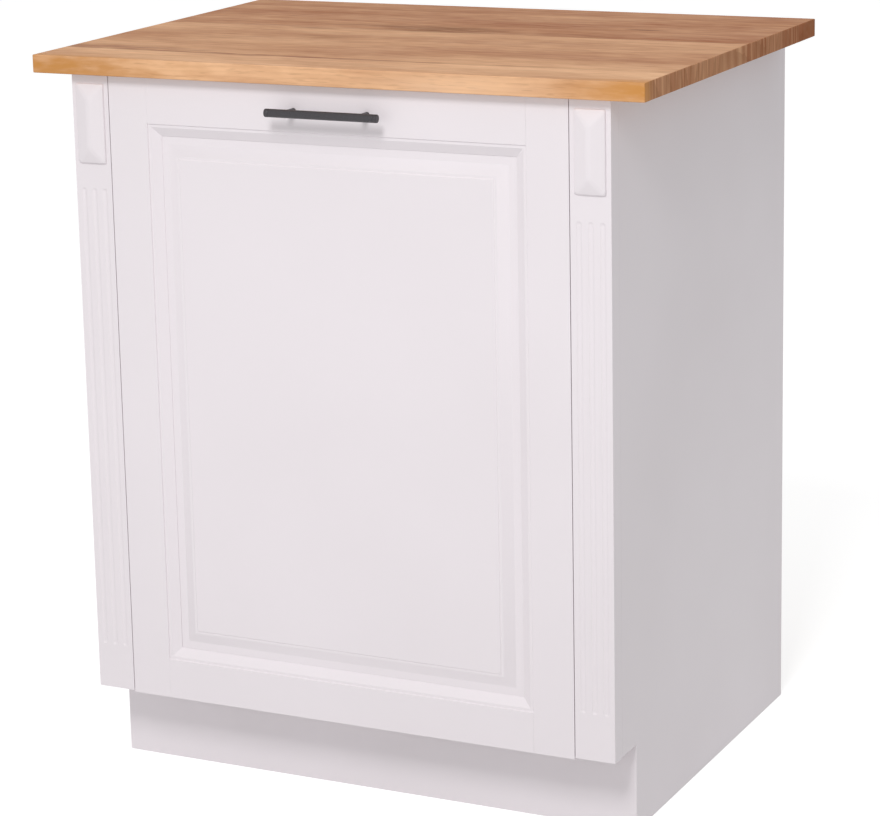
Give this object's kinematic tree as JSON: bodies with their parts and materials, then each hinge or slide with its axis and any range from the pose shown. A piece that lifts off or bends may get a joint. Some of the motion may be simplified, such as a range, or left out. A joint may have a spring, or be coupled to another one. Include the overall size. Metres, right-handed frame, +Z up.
{
  "type": "kitchen base cabinet with pull-out front",
  "caption": "Free-standing kitchen base cabinet with fluted pilasters, oak worktop, toe space and a full-height raised-panel front that pulls out with stacked boxes on telescopic runners.",
  "frame": {"origin": "on the floor, under the middle of the whole cabinet from the handle to the back edges", "axes": "+X to the right as seen from the front, +Y from the front to the wall, +Z up"},
  "size_m": [0.792, 0.608, 0.908],
  "materials": {
    "painted_mdf": "white satin lacquer on fibreboard and wood",
    "white_board": "white melamine on chipboard",
    "oiled_oak": "laminated oak staves, oiled",
    "raw_pine": "planed, unfinished",
    "birch_ply": "clear lacquered plywood",
    "black_steel": "matt black coating",
    "zinc_steel": "zinc plated sheet steel",
    "screw_steel": "zinc plated",
    "clear_pad": "clear soft pad"
  },
  "bodies": {
    "carcass": {"side_left": "painted_mdf", "side_right": "painted_mdf", "bottom_board": "white_board", "stretcher_front": "white_board", "stretcher_back": "white_board", "back_panel": "white_board", "wall_rail": "white_board", "plinth_board": "painted_mdf", "plinth_blocks": "raw_pine", "worktop": "oiled_oak", "pilaster_left": "painted_mdf", "pilaster_right": "painted_mdf", "pilaster_block_left": "painted_mdf", "pilaster_block_right": "painted_mdf", "cleat_left": "raw_pine", "cleat_right": "raw_pine", "batten_lower_left": "raw_pine", "batten_lower_right": "raw_pine", "batten_upper_left": "raw_pine", "batten_upper_right": "raw_pine", "runner_rail_lower_left": "zinc_steel", "runner_rail_lower_right": "zinc_steel", "runner_rail_upper_left": "zinc_steel", "runner_rail_upper_right": "zinc_steel", "worktop_screws": "screw_steel", "cam_bolts": "screw_steel", "cam_locks": "screw_steel", "dowels": "raw_pine", "batten_screws": "screw_steel", "pilaster_screws": "screw_steel", "runner_rail_screws": "screw_steel", "bumper_pads": "clear_pad"},
    "pullout": {"runner_slide_lower_left": "zinc_steel", "runner_slide_lower_right": "zinc_steel", "runner_slide_upper_left": "zinc_steel", "runner_slide_upper_right": "zinc_steel", "front_stile_left": "painted_mdf", "front_stile_right": "painted_mdf", "front_rail_top": "painted_mdf", "front_rail_bottom": "painted_mdf", "front_panel": "painted_mdf", "handle_bar": "black_steel", "handle_posts": "black_steel", "handle_screws": "screw_steel", "lower_box_side_left": "birch_ply", "lower_box_side_right": "birch_ply", "lower_box_front": "birch_ply", "lower_box_back": "birch_ply", "lower_box_bottom": "birch_ply", "upper_box_side_left": "birch_ply", "upper_box_side_right": "birch_ply", "upper_box_front": "birch_ply", "upper_box_back": "birch_ply", "upper_box_bottom": "birch_ply", "runner_slide_screws": "screw_steel", "box_screws": "screw_steel"},
    "runner_middle_lower_left": {"runner_middle_lower_left": "zinc_steel"},
    "runner_middle_lower_right": {"runner_middle_lower_right": "zinc_steel"},
    "runner_middle_upper_left": {"runner_middle_upper_left": "zinc_steel"},
    "runner_middle_upper_right": {"runner_middle_upper_right": "zinc_steel"}
  },
  "joints": [
    {"name": "pullout_slide", "type": "slide", "parent": "carcass", "child": "pullout", "axis": [0, -1, 0], "range_m": [0, 0.5]},
    {"name": "runner_middle_lower_left_slide", "type": "slide", "parent": "carcass", "child": "runner_middle_lower_left", "axis": [0, -1, 0], "range_m": [0, 0.25]},
    {"name": "runner_middle_lower_right_slide", "type": "slide", "parent": "carcass", "child": "runner_middle_lower_right", "axis": [0, -1, 0], "range_m": [0, 0.25]},
    {"name": "runner_middle_upper_left_slide", "type": "slide", "parent": "carcass", "child": "runner_middle_upper_left", "axis": [0, -1, 0], "range_m": [0, 0.25]},
    {"name": "runner_middle_upper_right_slide", "type": "slide", "parent": "carcass", "child": "runner_middle_upper_right", "axis": [0, -1, 0], "range_m": [0, 0.25]}
  ],
  "couplings": [
    {"joint": "runner_middle_lower_left_slide", "follows": "pullout_slide", "ratio": 0.5},
    {"joint": "runner_middle_lower_right_slide", "follows": "pullout_slide", "ratio": 0.5},
    {"joint": "runner_middle_upper_left_slide", "follows": "pullout_slide", "ratio": 0.5},
    {"joint": "runner_middle_upper_right_slide", "follows": "pullout_slide", "ratio": 0.5}
  ]
}
